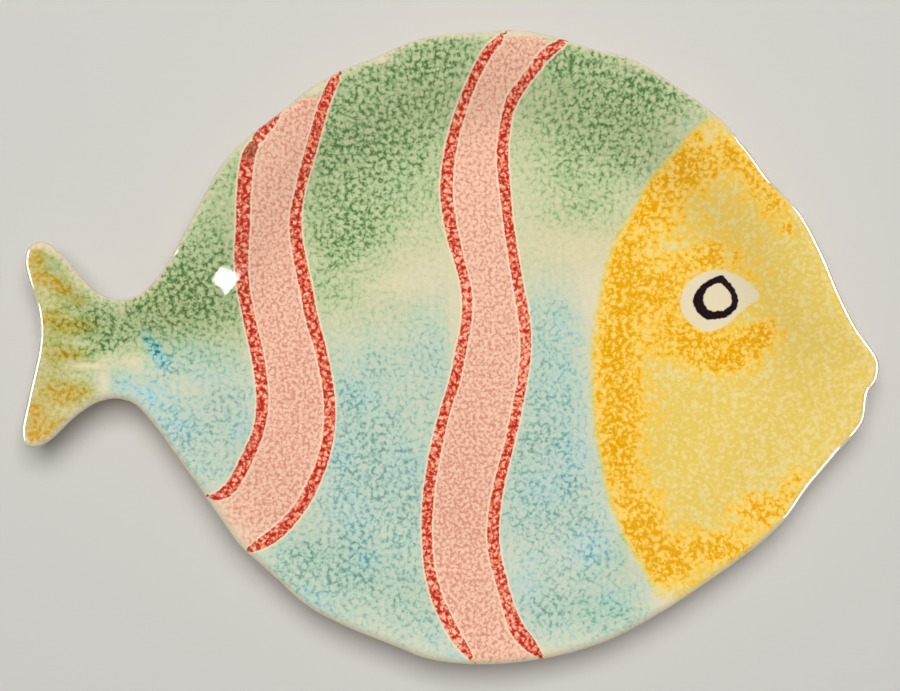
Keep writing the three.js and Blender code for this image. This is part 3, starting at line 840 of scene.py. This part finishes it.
def foot_rows(shape, sizes):
    """The foot as rows of points round its line, one for each point of its section. The line lies where the
    soft distance is what the slope, the setback and half the root need: in each direction from the middle a
    point steps outward by the distance it has to spare. The section is a flat face, quarter-round edges and
    sides that flare with the cube of the height."""
    root, face, edge = (size / MM for size in (sizes.foot_root, sizes.foot_face, sizes.foot_edge))
    wanted = shape.half_wall + shape.wall_run + sizes.foot_setback / MM + root / 2
    around = np.linspace(0, 2 * np.pi, FOOT_STEPS, endpoint=False)
    ways = np.column_stack([np.cos(around), np.sin(around)])
    line = np.repeat(shape.middle[None], FOOT_STEPS, axis=0)
    for _ in range(FOOT_TRIES):
        line = line + ways * (shape.distance_in(line)[0] - wanted)[:, None]
    run = np.roll(line, -1, axis=0) - np.roll(line, 1, axis=0)
    outward = np.column_stack([run[:, 1], -run[:, 0]]) / np.linalg.norm(run, axis=1, keepdims=True)
    turn = np.linspace(0, np.pi / 2, FOOT_EDGE_STEPS)
    share = np.linspace(0, 1, FOOT_FLARE_STEPS)[1:]
    neck, tall = face / 2 + edge, FOOT_HIGH[2]
    offsets = np.concatenate([face / 2 + edge * np.sin(turn), neck + (root / 2 - neck) * share ** 3])
    heights = np.concatenate([edge * (1 - np.cos(turn)), edge + (tall - edge) * share])
    offsets, heights = np.concatenate([offsets, -offsets[::-1]]), np.concatenate([heights, heights[::-1]])
    flat = line[None] + outward[None] * offsets[::-1, None, None]
    level = np.broadcast_to(heights[::-1, None, None], (*flat.shape[:2], 1))
    return np.concatenate([flat, level], axis=2)


class GlazedDish(bpy.types.Operator):
    """Build the glazed and decorated dish"""
    bl_idname = "plate.glazed_dish"
    bl_label = "Glazed dish"

    def execute(self, context):
        shape = DishShape(context.scene.plate_sizes)
        rows, distances = dish_rows(shape)
        row_count, step_count = rows.shape[:2]
        corners, distance = rows.reshape(-1, 3), distances.ravel()
        faces = ring_faces(row_count, step_count, rows_wrap=False)
        top_row = np.arange(row_count) <= TOP_RINGS + LIP_RINGS // 2
        top_corner = np.repeat(top_row, step_count)
        fields = decoration(corners, distance, top_corner)
        material = glazed_earthenware(context.scene.plate_colours, fields)
        corner_map = dish_map(corners, faces, top_corner)
        dish = piece_from("glazed_dish", corners, faces, material, fields, corner_map)
        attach(dish, "root")
        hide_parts("plate_body")
        return {"FINISHED"}


class TrimmedFoot(bpy.types.Operator):
    """Build the trimmed foot"""
    bl_idname = "plate.trimmed_foot"
    bl_label = "Trimmed foot"

    def execute(self, context):
        sizes = context.scene.plate_sizes
        rows = foot_rows(DishShape(sizes), sizes)
        faces = ring_faces(*rows.shape[:2], rows_wrap=True)
        foot = piece_from(
            "trimmed_foot", rows.reshape(-1, 3), faces, bare_earthenware(context.scene.plate_colours))
        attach(foot, "root")
        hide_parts("foot_ring")
        return {"FINISHED"}


class PlainStage(bpy.types.Operator):
    """Build the floor, the lights and the camera over the plate"""
    bl_idname = "plate.plain_stage"
    bl_label = "Plain stage"

    def execute(self, context):
        scene = context.scene
        mesh = bpy.data.meshes.new("floor")
        far = FLOOR_REACH
        mesh.from_pydata([(-far, -far, 0), (far, -far, 0), (far, far, 0), (-far, far, 0)], [], [(0, 1, 2, 3)])
        material, _, surface = new_material("floor_paper")
        surface.inputs["Base Color"].default_value = (*scene.plate_colours.floor, 1)
        surface.inputs["Roughness"].default_value = PAPER_ROUGHNESS
        surface.inputs["Specular IOR Level"].default_value = 0
        mesh.materials.append(material)
        floor = bpy.data.objects.new("floor", mesh)
        scene.collection.objects.link(floor)

        world = bpy.data.worlds.new("studio")
        world.use_nodes = True
        tree = world.node_tree
        height = add(tree, "SeparateXYZ", add(tree, "TexCoord", output="Generated"), output="Z")
        glow = add(tree, "ValToRGB", height)
        stops = glow.node.color_ramp.elements
        for at, _ in DOME_GLOW[1:-1]:
            stops.new(at)
        for stop, (_, share) in zip(stops, DOME_GLOW):
            stop.color = (share, share, share, 1)
        tree.links.new(glow, tree.nodes["Background"].inputs["Color"])
        tree.nodes["Background"].inputs["Strength"].default_value = DOME_STRENGTH
        scene.world = world

        for name, place, size, power, mirrored in STUDIO_LIGHTS:
            light = bpy.data.lights.new(name, "AREA")
            light.shape = "RECTANGLE"
            light.size, light.size_y = size
            light.energy = power
            lamp = bpy.data.objects.new(name, light)
            lamp.visible_glossy, lamp.visible_diffuse, lamp.visible_camera = mirrored, not mirrored, False
            lamp.location = place
            lamp.rotation_euler = (-lamp.location).to_track_quat("-Z", "Y").to_euler()
            scene.collection.objects.link(lamp)

        camera = bpy.data.cameras.new("camera")
        camera.lens, camera.sensor_width = LENS, SENSOR_WIDTH
        eye = bpy.data.objects.new("camera", camera)
        eye.location = camera_place() * MM
        scene.collection.objects.link(eye)
        scene.camera = eye
        scene.view_settings.view_transform = "Standard"
        return {"FINISHED"}


class PlatePanel(bpy.types.Panel):
    """Plate tools in the sidebar"""
    bl_idname = "VIEW3D_PT_plate"
    bl_label = "Salad plate"
    bl_space_type = "VIEW_3D"
    bl_region_type = "UI"
    bl_category = "Plate"

    def draw(self, context):
        for maker in MAKERS:
            self.layout.operator(maker.bl_idname)
        for group in (context.scene.plate_sizes, context.scene.plate_colours):
            for name in type(group).__annotations__:
                self.layout.prop(group, name)


MAKERS = (GlazedDish, TrimmedFoot, PlainStage)
CLASSES = (PlateSizes, PlateColours, *MAKERS, PlatePanel)


def register():
    for each in CLASSES:
        bpy.utils.register_class(each)
    bpy.types.Scene.plate_sizes = bpy.props.PointerProperty(type=PlateSizes)
    bpy.types.Scene.plate_colours = bpy.props.PointerProperty(type=PlateColours)


def unregister():
    del bpy.types.Scene.plate_colours
    del bpy.types.Scene.plate_sizes
    for each in reversed(CLASSES):
        bpy.utils.unregister_class(each)


def main():
    register()
    bpy.ops.plate.glazed_dish()
    bpy.ops.plate.trimmed_foot()
    bpy.ops.plate.plain_stage()


if __name__ == "__main__":
    main()
